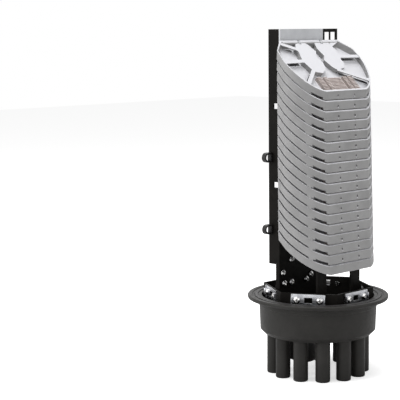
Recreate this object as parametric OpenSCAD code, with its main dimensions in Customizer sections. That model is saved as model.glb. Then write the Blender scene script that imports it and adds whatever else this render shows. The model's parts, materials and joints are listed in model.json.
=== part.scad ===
// Dome splice closure with its dome taken off: a ported base, a folded back frame,
// cable brackets and a fan of hinged splice trays, each with its splice comb.
// Millimetres, +Z up. The origin is on the base's axis, level with the closed
// ends of the cable ports. The trays face -Y.

/* [Base] */
// Diameter of the flange
flange_d = 210; // [206:1:230]
// Thickness of the flange's rim
flange_t = 6.5; // [5:0.5:9]
// Width of the raised lip around the flange
flange_lip_w = 6.5; // [4:0.5:8]
// Depth of the flange's face below its lip
flange_face_drop = 1.2; // [0.6:0.2:2]
// Diameter of the base's mouth
mouth_d = 168; // [166:1:172]
// Wall of the drum
drum_wall = 3.5; // [2.5:0.1:5]
// Height of the drum, from the underside of its floor to the top of its flange
drum_h = 58; // [50:0.5:70]
// Thickness of the drum's floor
floor_t = 5; // [3:0.5:8]
// Chamfer around the drum's floor
drum_chamfer = 6; // [3:0.5:9]
// Taper of the drum, as the drop in its radius over its height
drum_taper = 1.4; // [0:0.1:2]
// Depth of the seal's groove
seal_groove_d = 3; // [2:0.2:4]
// Width of the seal's groove
seal_groove_w = 6; // [5:0.2:7]
// Distance from the mouth's edge to the seal's groove
seal_inset = 5; // [3:0.5:6]

/* [Cable ports] */
// Number of round cable ports
port_count = 10; // [6:2:10]
// Angle between neighbouring ports
port_step = 28.5; // [26:0.5:30]
// Radius of the circle that the ports stand on
port_ring_r = 66; // [64:0.5:68]
// Outer diameter of a round port
port_d = 21.7; // [16:0.1:23]
// Length of a round port below the drum's floor
port_len = 60.5; // [40:0.5:90]
// Wall of a round port
port_wall = 2.5; // [1.5:0.1:4]
// Rounding of a round port's closed end
port_round = 2; // [1:0.1:4]
// Diameter of the large port
big_port_d = 68; // [50:1:70]
// Distance of the large port's axis from the base's axis
big_port_y = 47; // [44:0.5:48]
// Length of the large port, measured on its axis
big_port_len = 36; // [30:1:42]
// Slope of the large port's closed end
big_port_slope = 22; // [0:1:25]
// Length of the large port's seat band for a sleeve (mm)
big_port_seat = 18; // [10:0.5:18]
// Step from the seat band in to the rest of the large port (mm)
big_port_step = 0.6; // [0.4:0.1:1]
// Wall of the large port
big_port_wall = 3.5; // [2.5:0.1:5]

/* [Bracket ring] */
// Distance across the flats of the bracket ring
ring_flats = 144; // [142:0.5:144]
// Thickness of the ring's sheet
ring_t = 2; // [1.5:0.1:2.5]
// Height of the ring's top above the flange
ring_rise = 13; // [10:0.5:20]
// Depth of the ring's band below the flange
ring_drop = 22; // [18:0.5:30]
// Width of the arch between two of the ring's legs
ring_arch_w = 56; // [40:1:62]

/* [Cable brackets] */
// Number of flats, each with a cable bracket
bracket_count = 6; // [6:1:6]
// Width of a bracket
bracket_w = 50; // [46:1:54]
// Height of a bracket
bracket_h = 18; // [14:0.5:20]
// Thickness of a bracket's sheet
bracket_t = 1.5; // [1:0.1:2]
// Height of a bracket's lower edge above the flange
bracket_z = -6; // [-8:0.5:-3]
// Length of a bracket's folded ears
bracket_ear = 5; // [3:0.5:5.5]
// Distance between a bracket's screws
bracket_screw_gap = 34; // [30:1:38]
// Width of the window between a bracket's screws
bracket_window_w = 12; // [8:0.5:14]
// Height of the window between a bracket's screws
bracket_window_h = 8; // [6:0.5:10]

/* [Screws] */
// Diameter of a screw's shank
screw_d = 5.8; // [4:0.1:6]
// Diameter of a screw's head
screw_head_d = 9.6; // [8:0.1:11]
// Height of a screw's head
screw_head_h = 3.6; // [2:0.1:4]
// Depth of the hexagon socket in a screw's head
screw_socket_depth = 2; // [1:0.1:2]
// Clearance around a screw's shank
screw_clear = 0.2; // [0.1:0.05:0.4]

/* [Back frame] */
// Width of the frame's web
web_w = 130; // [126:1:130]
// Distance from the base's axis to the front of the web
web_y = 18.3; // [17.5:0.1:19]
// Thickness of the frame's sheet
frame_t = 2; // [1.5:0.1:2.5]
// Depth of the frame's side leg, from the web's front
leg_depth = 20.5; // [16:0.5:24]
// Depth of the leg at its narrow foot
foot_depth = 7; // [4:0.5:7]
// Height of the step above the flange where the leg narrows
foot_step_z = 49; // [40:1:60]
// Height of the frame's top above the flange
frame_h = 393; // [380:1:420]
// Height of the web's lower cut-out above the flange
web_cut_z = 14; // [13:0.5:20]
// Height of the web's lower cut-out
web_cut_h = 52; // [40:1:56]
// Distance from the web's middle to the cut-out's side
web_cut_x = 24; // [16:1:26]

/* [Tray holder] */
// Distance from the web's middle to the holder's right side
holder_right = 29; // [28:0.5:40]
// Thickness of the holder's plate
holder_t = 2.5; // [2:0.1:2.9]
// Distance of each hinge lug from the middle
lug_x = 24; // [20:0.5:25]
// Width of a hinge lug
lug_w = 4; // [3:0.1:6]
// Radius of a lug's eye
lug_r = 3.4; // [3:0.1:3.6]

/* [Tray hinges] */
// Trays' middle, to the side of the frame's middle (mm)
tray_x = -7; // [-8:0.5:-4]
// Distance of the hinge axes behind the base's axis
hinge_y = 11.2; // [10.8:0.1:11.4]
// Height of the top tray's hinge above the flange
hinge_top_z = 372; // [366:0.5:376]
// Distance between neighbouring hinges
hinge_pitch = 15.36; // [15:0.02:16]
// Tilt of the top tray below the horizontal
tilt_top = 45; // [44:0.5:46]
// Change of tilt from each tray to the next
tilt_step = 0.5; // [0.4:0.05:0.55]
// Diameter of a tray's hinge pins
pin_d = 3; // [2.5:0.1:3.4]
// Clearance around a hinge pin
pin_clear = 0.08; // [0.04:0.01:0.1]

/* [Splice trays] */
// Number of splice trays
tray_count = 17; // [17:1:17]
// Radius of the two lobes of a tray's plan
lobe_r = 54.6; // [52:0.1:56]
// Distance of each lobe's middle from the tray's middle
lobe_x = 32.3; // [28:0.1:34]
// Distance of the lobes' middles in front of the base's axis
lobe_y = 11.4; // [8:0.1:12]
// Distance of a tray's flat front from the base's axis
tray_front = 64.5; // [60:0.5:65]
// Distance of a tray's back wall behind the hinge axis
tray_back = 0.8; // [0.4:0.1:1.2]
// Half the width of a tray at its back wall
tray_back_half = 64; // [62:1:70]
// Half the width of a tray at its shoulders, just in front of the back wall
tray_shoulder_half = 84; // [80:1:86]
// Distance of the shoulders in front of the hinge axis
tray_shoulder_y = 14; // [10:1:18]
// Lean of the tray's walls, which stand upright when the tray is down
tray_lean = 41; // [39:0.5:43]
// Height of the tray
tray_h = 9; // [8:0.1:9.5]
// Thickness of the tray's walls
tray_wall = 2; // [1.4:0.1:2.5]
// Thickness of the tray's floor
tray_floor = 1.5; // [1:0.1:2]
// Radius of the tray's hinge bar
hinge_bar_r = 2.8; // [2.4:0.1:3]
// Half the length of the tray's hinge bar
hinge_bar_x = 60; // [50:1:64]
// Gap between a tray's hinge bar and the lug's sides
lug_gap = 0.5; // [0.3:0.1:1]
// Height of the finger recesses under the tray's front corners
recess_h = 2.4; // [1:0.1:4]
// Angle that a finger recess takes up around its lobe
recess_turn = 20; // [10:1:30]
// Distance of the two front holes from the tray's middle
front_hole_x = 18.5; // [14:0.5:20]
// Radius of the two front holes
front_hole_r = 1.8; // [1:0.1:2.2]
// Height of the front holes above the tray's underside
front_hole_z = 3.6; // [3:0.1:5]
// Clearance between a tray's stacking feet and the tray below
stack_clear = 0.35; // [0.3:0.05:0.5]

/* [Tray routing islands] */
// Height of the islands' tops below the tray's rim
island_drop = 0.6; // [0.3:0.1:2]
// Thickness of the retaining fingers
finger_t = 1.4; // [1:0.1:2]
// Width of the retaining fingers
finger_w = 6; // [4:0.5:8]

/* [Splice comb] */
// Length of the comb across the tray
comb_len = 78; // [66:1:82]
// Number of splice channels
comb_channels = 10; // [8:1:11]
// Distance between neighbouring channels
comb_pitch = 2.7; // [2.2:0.1:2.7]
// Thickness of a comb's fin
comb_fin = 0.9; // [0.6:0.1:1.2]
// Height of the clip fins above the comb's base
comb_clip_h = 4.2; // [3:0.1:4.8]
// Height of the middle fins above the comb's base
comb_low_h = 2; // [1:0.1:3]
// Thickness of the comb's base
comb_base = 1; // [0.6:0.1:1.5]
// Distance of the comb's front edge in front of the hinge axis, along the floor
comb_reach = 96; // [90:0.5:97]

/* [Front posts] */
// Distance of each post from the middle
post_x = 38; // [34:1:40]
// Distance of the posts in front of the base's axis
post_y = 38; // [34:1:42]
// Width of a post
post_w = 20; // [16:1:24]
// Thickness of a post
post_t = 3; // [2:0.1:4]
// Length of a post's folded foot
post_foot = 14; // [10:1:16]

/* [Guide hooks] */
// Heights of the guide hooks above the flange
hook_zs = [207, 101];
// Outer radius of a guide hook's loop
hook_r = 7.2; // [6:0.1:9]
// Reach of a guide hook from the leg
hook_reach = 15; // [12:0.5:18]
// Width of a guide hook's strap
hook_w = 7; // [5:0.5:9]
// Thickness of a guide hook's strap
hook_t = 2.4; // [2:0.1:3]

/* [Hidden] */
$fn = 64;
eps = 0.01;
cut = 1;
floor_z = port_len;
flange_z = floor_z + drum_h;
floor_top = floor_z + floor_t;
flange_face = flange_z - flange_face_drop;
flange_r = flange_d / 2;
mouth_r = mouth_d / 2;
drum_r = mouth_r + drum_wall;
seal_r = mouth_r + seal_inset + seal_groove_w / 2;
bore_r = port_d / 2 - port_wall;
big_bore_r = big_port_d / 2 - big_port_wall;
ring_apothem = ring_flats / 2;
ring_hex_r = ring_apothem / cos(30);
web_back = web_y + frame_t;
frame_top = flange_z + frame_h;
left_x = -web_w / 2;
leg_back = web_y + leg_depth;
holder_front = web_y - holder_t;
hinge_z0 = flange_z + hinge_top_z;
rim_z = hinge_bar_r;
tray_bottom = rim_z - tray_h;
tray_floor_top = tray_bottom + tray_floor;
island_top = rim_z - island_drop;
comb_w = comb_channels * comb_pitch + comb_fin;
comb_y = -comb_reach;
shank_len = bracket_t + ring_t + 3;
foot_turn = 45;
foot_reach = (lobe_y + hinge_y + lobe_r * cos(foot_turn)) / cos(tray_lean) + tray_h * tan(tray_lean);

function port_angle(i) = (i - (port_count - 1) / 2) * port_step;
function tilt(i) = tilt_top - i * tilt_step;
function hinge_z(i) = hinge_z0 - i * hinge_pitch;
// Gap at the stacking feet between tray i's underside and the rim of the tray below
function foot_h(i) = hinge_pitch * cos(tilt(i)) - foot_reach * sin(tilt_step) - tray_h - stack_clear;

module slice_box(x0, x1, y0, y1, z0, z1) {
    translate([x0, y0, z0]) cube([x1 - x0, y1 - y0, z1 - z0]);
}

// ---------- base ----------

module base_shell() {
    rotate_extrude($fn = 128) difference() {
        polygon([
            [0, floor_z], [drum_r - drum_taper - drum_chamfer, floor_z],
            [drum_r - drum_taper, floor_z + drum_chamfer], [drum_r, flange_z - 16],
            [drum_r + 1, flange_z - 15.4], [drum_r + 1.6, flange_z - flange_t - 3],
            [flange_r - 4, flange_z - flange_t], [flange_r - 0.8, flange_z - flange_t + 1.2],
            [flange_r, flange_z - flange_t + 2.6], [flange_r, flange_z - 1.4],
            [flange_r - 1.2, flange_z], [flange_r - flange_lip_w, flange_z],
            [flange_r - flange_lip_w - 1, flange_face], [mouth_r, flange_face],
            [mouth_r, floor_top], [0, floor_top]]);
        translate([seal_r - seal_groove_w / 2, flange_face - seal_groove_d])
            square([seal_groove_w, seal_groove_d + cut]);
    }
}

// A closed port: a rounded end below, open to the drum above
module port_body() {
    rotate_extrude() {
        square([port_d / 2 - port_round, floor_z + eps]);
        translate([0, port_round]) square([port_d / 2, floor_z + eps - port_round]);
        translate([port_d / 2 - port_round, port_round]) circle(port_round);
    }
}

module at_ports() {
    for (i = [0 : port_count - 1])
        rotate([0, 0, port_angle(i)]) translate([0, -port_ring_r, 0]) children();
}

// The large port's round body, cut off by a sloping plane that lies `up` above its end
module sloped_cylinder(r, up) {
    translate([0, big_port_y, 0]) difference() {
        cylinder(r = r, h = floor_top + eps);
        translate([0, 0, floor_z - big_port_len + up]) rotate([big_port_slope, 0, 0])
            translate([-flange_r, -flange_r, -flange_r]) cube([2 * flange_r, 2 * flange_r, flange_r]);
    }
}

module base() {
    color([0.24, 0.23, 0.22]) difference() {
        union() {
            base_shell();
            at_ports() port_body();
            intersection() {
                sloped_cylinder(big_port_d / 2 - big_port_step, 0);
                slice_box(-flange_r, flange_r, -flange_r, flange_r, 0, floor_z + eps);
            }
            translate([0, big_port_y, floor_z - big_port_seat])
                cylinder(d = big_port_d, h = big_port_seat + eps);
        }
        at_ports() translate([0, 0, port_wall]) cylinder(r = bore_r, h = floor_top);
        sloped_cylinder(big_bore_r, big_port_wall);
    }
}

module seal_ring() {
    seal_w = seal_groove_w - 0.6;
    color([0.12, 0.12, 0.12]) rotate_extrude($fn = 128)
        translate([seal_r - seal_w / 2, flange_face - seal_groove_d]) {
            square([seal_w, seal_groove_d]);
            translate([seal_w / 2, seal_groove_d]) intersection() {
                circle(seal_w / 2);
                translate([-seal_w / 2, 0]) square([seal_w, 0.9]);
            }
        }
}

// ---------- bracket ring and brackets ----------

module at_flats() {
    for (i = [0 : bracket_count - 1])
        rotate([0, 0, i * 60]) translate([0, -ring_apothem, 0]) children();
}

module at_bracket_screws() {
    for (side = [-1, 1])
        translate([side * bracket_screw_gap / 2, 0, flange_z + bracket_z + bracket_h / 2]) children();
}

module screw_hole(length) {
    rotate([-90, 0, 0]) translate([0, 0, -cut])
        cylinder(d = screw_d + 2 * screw_clear, h = length + 2 * cut);
}

// A screw that points to +Y, its head's underside at y = 0
module screw(length) {
    rotate([-90, 0, 0]) difference() {
        union() {
            cylinder(d = screw_d, h = length);
            translate([0, 0, -screw_head_h]) intersection() {
                cylinder(d = screw_head_d, h = screw_head_h);
                translate([0, 0, screw_head_d * 0.62]) sphere(d = screw_head_d * 1.24 + 2 * 0.4);
            }
        }
        translate([0, 0, -screw_head_h - cut])
            cylinder(d = screw_head_d * 0.5, h = screw_socket_depth + cut, $fn = 6);
    }
}

module bracket_ring() {
    color([0.1, 0.1, 0.1]) difference() {
        translate([0, 0, floor_top])
            cylinder(r = ring_hex_r, h = flange_z + ring_rise - floor_top, $fn = 6);
        translate([0, 0, floor_top - cut])
            cylinder(r = ring_hex_r - ring_t / cos(30), h = drum_h + ring_rise + 2 * cut, $fn = 6);
        at_flats() {
            slice_box(-ring_arch_w / 2, ring_arch_w / 2, -cut, ring_t + cut,
                      floor_top - cut, flange_z - ring_drop);
            at_bracket_screws() screw_hole(ring_t);
            translate([-bracket_window_w / 2, -cut, flange_z + bracket_z + bracket_h / 2 - bracket_window_h / 2])
                cube([bracket_window_w, ring_t + 2 * cut, bracket_window_h]);
        }
    }
}

module one_bracket() {
    z0 = flange_z + bracket_z;
    difference() {
        union() {
            translate([-bracket_w / 2, -bracket_t, z0]) cube([bracket_w, bracket_t, bracket_h]);
            for (side = [-1, 1]) {
                ear_x = side * (bracket_w / 2 - bracket_t / 2) - bracket_t / 2;
                translate([ear_x, -bracket_ear, z0]) cube([bracket_t, bracket_ear, bracket_h]);
            }
        }
        at_bracket_screws() translate([0, -bracket_t, 0]) screw_hole(bracket_t);
        translate([-bracket_window_w / 2, -bracket_t - cut, z0 + bracket_h / 2 - bracket_window_h / 2])
            cube([bracket_window_w, bracket_t + 2 * cut, bracket_window_h]);
        for (side = [-1, 1], end = [0, 1])
            translate([side * bracket_w / 2 - 2 * bracket_t, -bracket_ear - cut, z0 + end * (bracket_h - 4) - eps])
                cube([4 * bracket_t, cut + bracket_ear * 0.5, 4 + 2 * eps]);
    }
}

module cable_bracket(i) {
    color([0.75, 0.76, 0.78]) rotate([0, 0, (i - 1) * 60])
        translate([0, -ring_apothem, 0]) one_bracket();
}

module bracket_screws() {
    color([0.8, 0.8, 0.82]) at_flats()
        at_bracket_screws() translate([0, -bracket_t, 0]) screw(shank_len);
}

// ---------- back frame ----------

// Screw places on the web: distance from the middle and height above the flange
web_screws = [[-39, 54], [-58, 36], [-55, 20], [-39, 20], [-6, 20], [4, 26]];
leg_window = [8.7, 8];
leg_window_zs = [282, 167];
top_window = [11.5, 13];

module back_frame() {
    color([0.1, 0.09, 0.08]) difference() {
        union() {
            slice_box(left_x, -left_x, web_y, web_back, floor_top, frame_top);
            slice_box(left_x, left_x + frame_t, web_y, leg_back, flange_z + foot_step_z, frame_top);
            slice_box(left_x, left_x + frame_t, web_y, web_y + foot_depth, floor_top, frame_top);
        }
        slice_box(web_cut_x, web_w, web_y - cut, web_back + cut, flange_z + web_cut_z, flange_z + web_cut_z + web_cut_h);
        slice_box(web_cut_x, web_w, web_y - cut, web_back + cut, floor_top - cut, flange_z + web_cut_z + cut);
        for (k = [0, 1]) {
            x0 = -left_x - 4 - (k + 1) * top_window.x - k * 2;
            slice_box(x0, x0 + top_window.x, web_y - cut, web_back + cut,
                      frame_top - 5 - top_window.y, frame_top - 5);
        }
        for (z = leg_window_zs)
            slice_box(left_x - cut, left_x + frame_t + cut, web_back, web_back + leg_window.x,
                      flange_z + z - leg_window.y / 2, flange_z + z + leg_window.y / 2);
        for (s = web_screws)
            translate([s.x, web_y, flange_z + s.y]) screw_hole(frame_t);
    }
}

module frame_screws() {
    color([0.75, 0.75, 0.78]) for (s = web_screws)
        translate([s.x, web_y, flange_z + s.y]) screw(frame_t + 4);
}

// ---------- tray holder ----------

module at_hinge(i) {
    translate([tray_x, hinge_y, hinge_z(i)]) children();
}

module tray_holder() {
    bottom = hinge_z(tray_count) - 12;
    color([0.8, 0.8, 0.8]) difference() {
        union() {
            slice_box(left_x, holder_right, holder_front, web_y, bottom, frame_top);
            for (i = [0 : tray_count], side = [-1, 1])
                at_hinge(i) translate([side * lug_x - lug_w / 2, 0, 0]) {
                    rotate([0, 90, 0]) cylinder(r = lug_r, h = lug_w);
                    translate([0, 0, -lug_r]) cube([lug_w, web_y - holder_t / 2 - hinge_y, 2 * lug_r]);
                }
        }
        for (i = [0 : tray_count], side = [-1, 1])
            at_hinge(i) translate([side * lug_x - lug_w, 0, 0])
                rotate([0, 90, 0]) cylinder(d = pin_d + 2 * pin_clear, h = 2 * lug_w);
    }
}

// ---------- trays ----------
// A tray is drawn in its own frame: the hinge axis is X, the front is -Y, and its
// underside and rim are level. It is then hinged into place at its tilt.

// The tray's plan as seen from above, drawn in by `inset`: two lobes with a flat front,
// narrowing to a straight back
module tray_plan(inset) {
    back_y = hinge_y + tray_back - inset;
    shoulder_y = hinge_y - tray_shoulder_y;
    side_half = lobe_x + lobe_r + cut;
    intersection() {
        union() {
            for (side = [-1, 1]) translate([side * lobe_x, -lobe_y]) circle(lobe_r - inset, $fn = 128);
            translate([-lobe_x, -lobe_y - lobe_r + inset]) square([2 * lobe_x, 2 * (lobe_r - inset)]);
        }
        polygon([
            [-tray_back_half + inset, back_y], [-tray_shoulder_half + inset, shoulder_y],
            [-side_half, -lobe_y - tray_shoulder_y], [-side_half, -tray_front + inset],
            [side_half, -tray_front + inset], [side_half, -lobe_y - tray_shoulder_y],
            [tray_shoulder_half - inset, shoulder_y], [tray_back_half - inset, back_y]]);
    }
}

// An upright column with the tray's plan, leaning back in the tray's own frame
module tray_column(inset) {
    rotate([-tray_lean, 0, 0]) translate([0, -hinge_y, -flange_d])
        linear_extrude(2 * flange_d) tray_plan(inset);
}

// Everything between two heights in the tray's own frame
module slab(z0, z1) {
    slice_box(-flange_d, flange_d, -flange_d, flange_d, z0, z1);
}

module tray_dish() {
    difference() {
        intersection() {
            tray_column(0);
            slab(tray_bottom, rim_z);
        }
        intersection() {
            tray_column(tray_wall);
            slab(tray_floor_top, rim_z + cut);
        }
    }
}

module hinge_bar() {
    translate([-hinge_bar_x, 0, 0]) rotate([0, 90, 0]) cylinder(r = hinge_bar_r, h = 2 * hinge_bar_x);
}

// Room around the holder's lugs, with the tray down and raised
module lug_notches() {
    half = lug_w / 2 + lug_gap;
    for (side = [-1, 1]) {
        translate([side * lug_x - half, 0, 0]) rotate([0, 90, 0])
            cylinder(r = lug_r + lug_gap, h = 2 * half);
        slice_box(side * lug_x - half, side * lug_x + half, -lug_r - lug_gap, 2 * lug_r, 0, rim_z + cut);
    }
}

module hinge_pins() {
    half = lug_w / 2 + lug_gap + 2;
    for (side = [-1, 1]) translate([side * lug_x - half, 0, 0])
        rotate([0, 90, 0]) cylinder(d = pin_d, h = 2 * half);
}

// One routing island's outline: distance from the middle and from the hinge axis.
// The other island is the same, turned half a turn about the tray's middle.
island_points = [
    [-15, -1], [-34, 3], [-41, 12], [-40, 20], [-43, 28], [-45, 38], [-41, 50],
    [-39, 57], [-32, 60], [-21, 62], [-8, 53], [-5, 43], [-9, 28], [-2, 19], [-8, 6]];
island_middle = [0, 28];
// The retaining fingers, from an island to the rim
finger_paths = [
    [[-38, 14], [-74, -2]], [[-42, 37], [-96, 38]], [[-37, 56], [-76, 88]],
    [[38, 8], [70, -6]], [[42, 30], [96, 31]], [[16, 56], [84, 86]]];

module finger(path, width, z0, z1) {
    direction = path[1] - path[0];
    translate([path[0].x, -path[0].y, 0]) rotate([0, 0, -atan2(direction.y, direction.x)])
        slice_box(-1, norm(direction), -width / 2, width / 2, z0, z1);
}

module islands() {
    intersection() {
        tray_column(tray_wall / 2);
        union() {
            for (turn = [0, 1]) translate([island_middle.x, -island_middle.y, 0]) rotate([0, 0, turn * 180])
                translate([-island_middle.x, island_middle.y, tray_bottom])
                    linear_extrude(island_top - tray_bottom) polygon([for (p = island_points) [p.x, -p.y]]);
            for (path = finger_paths) finger(path, finger_w, island_top - finger_t, island_top);
        }
    }
}

// Slots in the floor under the fingers
module finger_slots() {
    intersection() {
        tray_column(2 * tray_wall);
        for (path = finger_paths) {
            direction = (path[1] - path[0]) / norm(path[1] - path[0]);
            finger([path[0] + 7 * direction, path[1]], finger_w - 1, tray_bottom - cut, tray_floor_top + eps);
        }
    }
}

// The lobe's middle as an upright line, turned towards the front by `turn`
module at_lobe(side, turn) {
    rotate([-tray_lean, 0, 0]) translate([side * lobe_x, -lobe_y - hinge_y, 0])
        rotate([0, 0, side * turn]) children();
}

// Finger recesses under the front corners, and the two latch holes
module front_details() {
    for (side = [-1, 1]) {
        translate([side * front_hole_x, 0, tray_bottom + front_hole_z]) rotate([90, 0, 0])
            translate([0, 0, tray_front]) cylinder(r = front_hole_r, h = tray_front);
        intersection() {
            slab(tray_bottom - cut, tray_bottom + recess_h);
            at_lobe(side, 0) rotate([0, 0, side > 0 ? -90 + 18 : -90 - 18 - recess_turn])
                translate([0, 0, -flange_d / 2]) rotate_extrude(angle = recess_turn)
                    translate([lobe_r - tray_wall - cut, 0]) square([2 * tray_wall + cut, flange_d]);
        }
    }
}

module stack_feet(height) {
    intersection() {
        difference() {
            tray_column(0);
            tray_column(tray_wall);
        }
        for (side = [-1, 1]) at_lobe(side, foot_turn)
            slice_box(-3, 3, -lobe_r - 1, -lobe_r / 2, -flange_d, flange_d);
        slab(tray_bottom - height, tray_bottom + eps);
    }
}

module place_tray(i) {
    at_hinge(i) rotate([tilt(i), 0, 0]) children();
}

module splice_tray(i) {
    color([0.72, 0.72, 0.73]) place_tray(i) {
        difference() {
            union() {
                tray_dish();
                hinge_bar();
                islands();
                stack_feet(foot_h(i));
            }
            front_details();
            finger_slots();
            lug_notches();
        }
        hinge_pins();
    }
}

module support_tray() {
    color([0.72, 0.72, 0.73]) place_tray(tray_count) {
        difference() {
            union() {
                tray_dish();
                hinge_bar();
            }
            lug_notches();
        }
        hinge_pins();
    }
}

// ---------- splice comb ----------

// One row of fins, `height` above the comb's base, running across the tray
module fin_row(x0, x1, height) {
    for (k = [0 : comb_channels])
        slice_box(x0, x1, k * comb_pitch, k * comb_pitch + comb_fin, 0, comb_base + height);
}

module splice_comb(i) {
    half = comb_len / 2;
    color([0.78, 0.7, 0.66]) place_tray(i) translate([0, comb_y, tray_floor_top]) {
        slice_box(-half, half, 0, comb_w, 0, comb_base);
        fin_row(-half * 0.38, half * 0.38, comb_low_h);
        for (side = [-1, 1]) {
            fin_row(side * half * 0.86 - half * 0.14, side * half * 0.86 + half * 0.14, comb_clip_h);
            fin_row(side * half * 0.54 - half * 0.1, side * half * 0.54 + half * 0.1, comb_clip_h);
        }
    }
}

// ---------- posts and hooks ----------

module front_post(side) {
    // The post stands under the support tray, whose underside slopes down to the front
    t = tilt(tray_count);
    top_z = hinge_z(tray_count) + tray_bottom / cos(t) - (hinge_y + post_y) * tan(t);
    color([0.13, 0.12, 0.12]) translate([side * post_x - post_w / 2, 0, 0]) {
        difference() {
            slice_box(0, post_w, -post_y - post_t, -post_y, floor_top, top_z + 10);
            translate([-cut, hinge_y, hinge_z(tray_count)]) rotate([t, 0, 0])
                translate([0, -3 * post_y, tray_bottom]) cube([post_w + 2 * cut, 4 * post_y, 2 * post_y]);
        }
        slice_box(0, post_w, -post_y, -post_y + post_foot, floor_top, floor_top + post_t);
    }
}

module guide_hook(i) {
    color([0.1, 0.1, 0.1]) translate([left_x, leg_back - hook_w, flange_z + hook_zs[i - 1]])
        rotate([-90, 0, 0]) linear_extrude(hook_w) difference() {
            union() {
                translate([-(hook_reach - hook_r), 0]) circle(hook_r);
                translate([-(hook_reach - hook_r), -hook_r]) square([hook_reach - hook_r, 2 * hook_r]);
            }
            translate([-(hook_reach - hook_r), 0]) circle(hook_r - hook_t);
            translate([-(hook_reach - hook_r), -hook_r + hook_t])
                square([hook_reach - hook_r - hook_t, 2 * (hook_r - hook_t)]);
        }
}

base();
seal_ring();
bracket_ring();
bracket_screws();
back_frame();
frame_screws();
tray_holder();
front_post(-1);  // front_post_left
front_post(1);  // front_post_right
support_tray();
for (i = [1 : bracket_count])
    cable_bracket(i);
for (i = [1 : len(hook_zs)])
    guide_hook(i);
for (i = [1 : tray_count]) {
    splice_tray(i - 1);
    splice_comb(i - 1);
}
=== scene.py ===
import json
import math

import bpy
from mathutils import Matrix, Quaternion, Vector

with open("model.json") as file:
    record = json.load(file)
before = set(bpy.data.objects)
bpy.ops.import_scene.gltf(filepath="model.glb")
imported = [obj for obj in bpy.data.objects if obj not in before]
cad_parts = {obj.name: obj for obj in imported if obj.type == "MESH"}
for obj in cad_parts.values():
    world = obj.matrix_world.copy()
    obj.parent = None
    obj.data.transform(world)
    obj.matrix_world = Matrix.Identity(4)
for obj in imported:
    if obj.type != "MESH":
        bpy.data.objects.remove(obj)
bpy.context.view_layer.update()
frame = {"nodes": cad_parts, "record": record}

# ---------------------------------------------------------------- camera
CAMERA_PLACE = Vector((-1.482, -1.280, 0.510))
CAMERA_TURN = math.radians(44.05)    # line of sight, turned from +Y towards +X
CAMERA_PITCH = math.radians(7.28)    # looking down
CAMERA_ROLL = math.radians(-0.58)    # about the line of sight
CAMERA_LENS = 119.1                  # mm, on the sensor below
SENSOR_WIDTH = 36.0                  # mm
CLIP_NEAR, CLIP_FAR = 0.05, 50       # m


def add_camera():
    level = Vector((math.sin(CAMERA_TURN), math.cos(CAMERA_TURN), 0))
    look = level * math.cos(CAMERA_PITCH) - Vector((0, 0, 1)) * math.sin(CAMERA_PITCH)
    data = bpy.data.cameras.new("camera")
    data.lens = CAMERA_LENS
    data.sensor_width = SENSOR_WIDTH
    data.clip_start, data.clip_end = CLIP_NEAR, CLIP_FAR
    camera = bpy.data.objects.new("camera", data)
    camera.location = CAMERA_PLACE
    camera.rotation_mode = "QUATERNION"
    camera.rotation_quaternion = look.to_track_quat("-Z", "Y") @ Quaternion((0, 0, 1), CAMERA_ROLL)
    bpy.context.scene.collection.objects.link(camera)
    bpy.context.scene.camera = camera


# ---------------------------------------------------------------- stage
WHITE = (1, 1, 1, 1)
AMBIENT = 0.42           # the world's light on surfaces
BACKDROP = 1.0           # the world as the camera and reflections see it
FLOOR_HALF = 6.0         # m
FLOOR_COLOUR = (0.8, 0.8, 0.8, 1)
FLOOR_GLOW = 0.6         # added for the camera only, so that the floor fades into the backdrop
LAMP_TARGET = (0, 0, 0.26)
LAMPS = (
    # name, place (m), size (m), power (W)
    ("key_left", (-2.3, 0.9, 1.1), (1.0, 1.6), 30),
    ("top", (-0.3, 0.1, 2.4), (1.6, 1.6), 46),
    ("fill_front", (0.3, -2.4, 1.2), (1.2, 1.0), 9),
    ("back", (1.2, 2.0, 1.6), (1.4, 1.0), 10),
)


def new_tree(owner):
    """Empty the node tree of a material or a world."""
    owner.use_nodes = True
    tree = owner.node_tree
    tree.nodes.clear()
    return tree


def math_node(tree, kind, first, second):
    """Add a math node; each input is a number or a socket."""
    node = tree.nodes.new("ShaderNodeMath")
    node.operation = kind
    for socket, value in zip(node.inputs, (first, second)):
        if isinstance(value, (int, float)):
            socket.default_value = value
        else:
            tree.links.new(value, socket)
    return node.outputs[0]


def add_world():
    world = bpy.data.worlds.new("studio")
    bpy.context.scene.world = world
    tree = new_tree(world)
    rays = tree.nodes.new("ShaderNodeLightPath").outputs
    seen = math_node(tree, "MAXIMUM", rays["Is Camera Ray"], rays["Is Glossy Ray"])
    seen = math_node(tree, "MAXIMUM", seen, rays["Is Transmission Ray"])
    mix = tree.nodes.new("ShaderNodeMixShader")
    tree.links.new(seen, mix.inputs["Fac"])
    for socket, strength in zip(mix.inputs[1:], (AMBIENT, BACKDROP)):
        light = tree.nodes.new("ShaderNodeBackground")
        light.inputs["Color"].default_value = WHITE
        light.inputs["Strength"].default_value = strength
        tree.links.new(light.outputs[0], socket)
    out = tree.nodes.new("ShaderNodeOutputWorld")
    tree.links.new(mix.outputs[0], out.inputs["Surface"])


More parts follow.
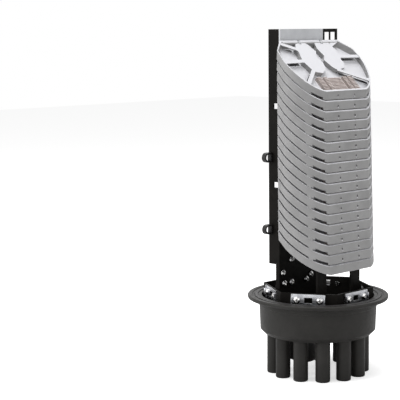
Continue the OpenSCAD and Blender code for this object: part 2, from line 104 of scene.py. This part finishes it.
def floor_white():
    material = bpy.data.materials.new("floor_white")
    tree = new_tree(material)
    diffuse = tree.nodes.new("ShaderNodeBsdfDiffuse")
    diffuse.inputs["Color"].default_value = FLOOR_COLOUR
    rays = tree.nodes.new("ShaderNodeLightPath").outputs
    glow = tree.nodes.new("ShaderNodeEmission")
    glow.inputs["Color"].default_value = WHITE
    tree.links.new(math_node(tree, "MULTIPLY", rays["Is Camera Ray"], FLOOR_GLOW),
                   glow.inputs["Strength"])
    both = tree.nodes.new("ShaderNodeAddShader")
    tree.links.new(diffuse.outputs[0], both.inputs[0])
    tree.links.new(glow.outputs[0], both.inputs[1])
    out = tree.nodes.new("ShaderNodeOutputMaterial")
    tree.links.new(both.outputs[0], out.inputs["Surface"])
    return material


def add_floor():
    corners = [(-FLOOR_HALF, -FLOOR_HALF, 0), (FLOOR_HALF, -FLOOR_HALF, 0),
               (FLOOR_HALF, FLOOR_HALF, 0), (-FLOOR_HALF, FLOOR_HALF, 0)]
    mesh = bpy.data.meshes.new("floor")
    mesh.from_pydata(corners, [], [(0, 1, 2, 3)])
    mesh.materials.append(floor_white())
    floor = bpy.data.objects.new("floor", mesh)
    bpy.context.scene.collection.objects.link(floor)


def add_lamps():
    for name, place, size, power in LAMPS:
        data = bpy.data.lights.new(name, "AREA")
        data.shape = "RECTANGLE"
        data.size, data.size_y = size
        data.energy = power
        lamp = bpy.data.objects.new(name, data)
        lamp.location = place
        lamp.rotation_mode = "QUATERNION"
        lamp.rotation_quaternion = (Vector(LAMP_TARGET) - Vector(place)).to_track_quat("-Z", "Y")
        bpy.context.scene.collection.objects.link(lamp)


# ---------------------------------------------------------------- materials
BEVEL_SAMPLES = 4
EDGE_TURN = (0.03, 0.35)     # how far a bevelled normal turns from 0 to the full lighter edge, partly wear and partly a painted highlight
CLOUDY = (0.35, 0.65)        # the part of a noise's range that tells two tints apart
PAINTED_TOP_LIGHT_RANGE = (0.35, 0.66)      # z of a normal, from not upward-facing to upward-facing: where the painted top light fades in
SHEET_EDGE = 0.0006          # m, radius of the lighter edge on sheet metal; on the zinc plate it is a painted highlight


class Paint:
    """The procedural material of one slot, wired node by node."""

    def __init__(self, slot, **values):
        self.slot = slot
        self.material = bpy.data.materials.new(slot)
        self.tree = new_tree(self.material)
        self.shader = self.add("ShaderNodeBsdfPrincipled")
        for key, value in values.items():
            self.shader.inputs[key.replace("_", " ")].default_value = value
        out = self.add("ShaderNodeOutputMaterial")
        self.link(self.shader.outputs[0], out.inputs["Surface"])
        self.place = self.add("ShaderNodeTexCoord").outputs["Object"]

    def add(self, kind):
        return self.tree.nodes.new(kind)

    def link(self, source, target):
        self.tree.links.new(source, target)

    def multiply(self, first, second):
        return math_node(self.tree, "MULTIPLY", first, second)

    def stretched(self, scale):
        mapping = self.add("ShaderNodeMapping")
        mapping.inputs["Scale"].default_value = scale
        self.link(self.place, mapping.inputs["Vector"])
        return mapping.outputs["Vector"]

    def noise(self, scale, detail, rough=0.55, along=None):
        node = self.add("ShaderNodeTexNoise")
        node.inputs["Scale"].default_value = scale
        node.inputs["Detail"].default_value = detail
        node.inputs["Roughness"].default_value = rough
        self.link(self.stretched(along) if along else self.place, node.inputs["Vector"])
        return node.outputs["Fac"]

    def spread(self, value, low, high, start=0.3, end=0.7):
        """Map start..end of a value onto low..high."""
        node = self.add("ShaderNodeMapRange")
        node.inputs["From Min"].default_value = start
        node.inputs["From Max"].default_value = end
        node.inputs["To Min"].default_value = low
        node.inputs["To Max"].default_value = high
        self.link(value, node.inputs["Value"])
        return node.outputs["Result"]

    def blend(self, factor, first, second):
        """Mix two colours, each a tuple or a socket."""
        node = self.add("ShaderNodeMix")
        node.data_type = "RGBA"
        sockets = [socket for socket in node.inputs if socket.type == "RGBA"]
        for socket, value in zip(sockets, (first, second)):
            if isinstance(value, tuple):
                socket.default_value = (*value, 1)
            else:
                self.link(value, socket)
        self.link(factor, node.inputs["Factor"])
        return [socket for socket in node.outputs if socket.type == "RGBA"][0]

    def rounded(self, radius):
        """The surface's normal, with edges rounded to a radius."""
        bevel = self.add("ShaderNodeBevel")
        bevel.samples = BEVEL_SAMPLES
        bevel.inputs["Radius"].default_value = radius
        return bevel.outputs["Normal"]

    def edges(self, radius):
        """1 near sharp edges, 0 on flats."""
        dot = self.add("ShaderNodeVectorMath")
        dot.operation = "DOT_PRODUCT"
        self.link(self.rounded(radius), dot.inputs[0])
        self.link(self.add("ShaderNodeNewGeometry").outputs["Normal"], dot.inputs[1])
        apart = math_node(self.tree, "SUBTRACT", 1.0, dot.outputs["Value"])
        return self.spread(apart, 0.0, 1.0, *EDGE_TURN)

    def painted_top_light_mask(self):
        """Painted top light mask: 1 on surfaces that face upward on the object itself, so it holds
        in every pose.
        """
        split = self.add("ShaderNodeSeparateXYZ")
        self.link(self.add("ShaderNodeTexCoord").outputs["Normal"], split.inputs[0])
        return self.spread(split.outputs["Z"], 0.0, 1.0, *PAINTED_TOP_LIGHT_RANGE)

    def finish(self, colour, rough, height, distance, strength, rounding):
        """Connect colour, roughness and a bump over rounded edges; give slot and material."""
        self.link(colour, self.shader.inputs["Base Color"])
        self.link(rough, self.shader.inputs["Roughness"])
        bump = self.add("ShaderNodeBump")
        bump.inputs["Distance"].default_value = distance
        bump.inputs["Strength"].default_value = strength
        self.link(height, bump.inputs["Height"])
        self.link(self.rounded(rounding), bump.inputs["Normal"])
        self.link(bump.outputs["Normal"], self.shader.inputs["Normal"])
        return self.slot, self.material


def moulded(slot, dark, light, edge, rough, specular, rounding, edge_radius, painted_top_light=None):
    """Moulded plastic: mottled colour, fine grain, lighter edges, worn on the black plastic and a
    painted highlight on the trays; optional painted top light.
    """
    p = Paint(slot, Specular_IOR_Level=specular)
    base = p.blend(p.spread(p.noise(38, 5), 0.0, 1.0, *CLOUDY), dark, light)
    # painted top light: upward-facing surfaces take a lighter colour that stands in for light from
    # above
    if painted_top_light:
        base = p.blend(p.painted_top_light_mask(), base, painted_top_light)
    # lighter edges: wear on the black plastic, painted highlight on the trays
    edge_wear_and_highlight = p.multiply(p.edges(edge_radius), p.spread(p.noise(120, 3), 0.45, 1.0))
    return p.finish(colour=p.blend(edge_wear_and_highlight, base, edge),
                    rough=p.spread(p.noise(210, 4), rough - 0.07, rough + 0.07),
                    height=p.noise(1500, 3, 0.6), distance=0.00006, strength=0.5,
                    rounding=rounding)


def plated(slot, dark, light, edge, rough, lines):
    """Zinc plate: bright metal with a cloudy tint, drawn lines and brighter edges that are a
    painted highlight.
    """
    p = Paint(slot, Metallic=1.0)
    base = p.blend(p.spread(p.noise(90, 5), 0.0, 1.0, *CLOUDY), dark, light)
    drawn = p.noise(60, 3, 0.5, lines)
    # the brighter edge colour is a painted highlight along every edge
    return p.finish(colour=p.blend(p.edges(SHEET_EDGE), base, edge),
                    rough=p.spread(drawn, rough - 0.08, rough + 0.1),
                    height=drawn, distance=0.00003, strength=0.6, rounding=0.0003)


def coated(slot, dark, light, edge):
    """Powder coat: fine orange peel over sheet steel, edges a touch greyer."""
    p = Paint(slot, Specular_IOR_Level=0.07)
    base = p.blend(p.spread(p.noise(55, 4), 0.0, 1.0), dark, light)
    edge_wear_and_highlight = p.multiply(p.edges(SHEET_EDGE), p.spread(p.noise(140, 3), 0.2, 1.0))
    return p.finish(colour=p.blend(edge_wear_and_highlight, base, edge),
                    rough=p.spread(p.noise(160, 3), 0.42, 0.62),
                    height=p.noise(1900, 2, 0.5), distance=0.00007, strength=0.6,
                    rounding=0.0004)


def rubber(slot, dark, light, rough):
    """Soft rubber: faint mottling, even sheen, very fine grain."""
    p = Paint(slot, Specular_IOR_Level=0.3)
    return p.finish(colour=p.blend(p.spread(p.noise(150, 4), 0.0, 1.0), dark, light),
                    rough=p.spread(p.noise(300, 3), rough - 0.06, rough + 0.06),
                    height=p.noise(2600, 2), distance=0.00005, strength=0.5,
                    rounding=0.0002)


def make_materials():
    """Each slot's material, by the slot: Blender may number a material's own name."""
    return dict([
        moulded("base_plastic", rough=0.5, specular=0.2, rounding=0.0005, edge_radius=0.0009,
                dark=(0.017, 0.0162, 0.0148), light=(0.024, 0.0228, 0.021),
                edge=(0.07, 0.066, 0.062)),
        rubber("seal_rubber", rough=0.55, dark=(0.02, 0.019, 0.019), light=(0.032, 0.03, 0.03)),
        coated("black_steel", dark=(0.0045, 0.004, 0.0034), light=(0.008, 0.007, 0.006),
               edge=(0.035, 0.033, 0.031)),
        # zinc and screw steel: the edge colour is a painted highlight
        plated("zinc_steel", rough=0.26, lines=(1, 1, 16),
               dark=(0.5, 0.51, 0.54), light=(0.72, 0.73, 0.76), edge=(0.9, 0.9, 0.9)),
        plated("screw_steel", rough=0.2, lines=(1, 1, 1),
               dark=(0.55, 0.55, 0.56), light=(0.78, 0.77, 0.75), edge=(0.92, 0.92, 0.9)),
        moulded("holder_plastic", rough=0.45, specular=0.4, rounding=0.0003, edge_radius=0.0006,
                dark=(0.5, 0.51, 0.53), light=(0.58, 0.59, 0.61), edge=(0.8, 0.8, 0.8)),
        # trays: the upward-facing colour is a painted top light, the lighter edge colour a painted
        # highlight
        moulded("tray_plastic", rough=0.42, specular=0.45, rounding=0.0003, edge_radius=0.0007,
                dark=(0.26, 0.258, 0.258), light=(0.31, 0.307, 0.307),
                edge=(0.66, 0.66, 0.67), painted_top_light=(0.66, 0.66, 0.69)),
        rubber("comb_rubber", rough=0.5, dark=(0.53, 0.47, 0.45), light=(0.64, 0.58, 0.56)),
        moulded("hook_plastic", rough=0.4, specular=0.3, rounding=0.0003, edge_radius=0.0006,
                dark=(0.012, 0.011, 0.011), light=(0.018, 0.017, 0.017),
                edge=(0.06, 0.06, 0.06)),
    ])


def dress(materials):
    """Give each piece the material of its slot in the record."""
    slots = {row["node"]: row["material_slot"] for row in frame["record"]["subparts"]}
    for node, piece in frame["nodes"].items():
        for place in piece.material_slots:
            place.material = materials[slots[node]]


bpy.context.scene.view_settings.view_transform = "Standard"
add_camera()
add_world()
add_floor()
add_lamps()
dress(make_materials())
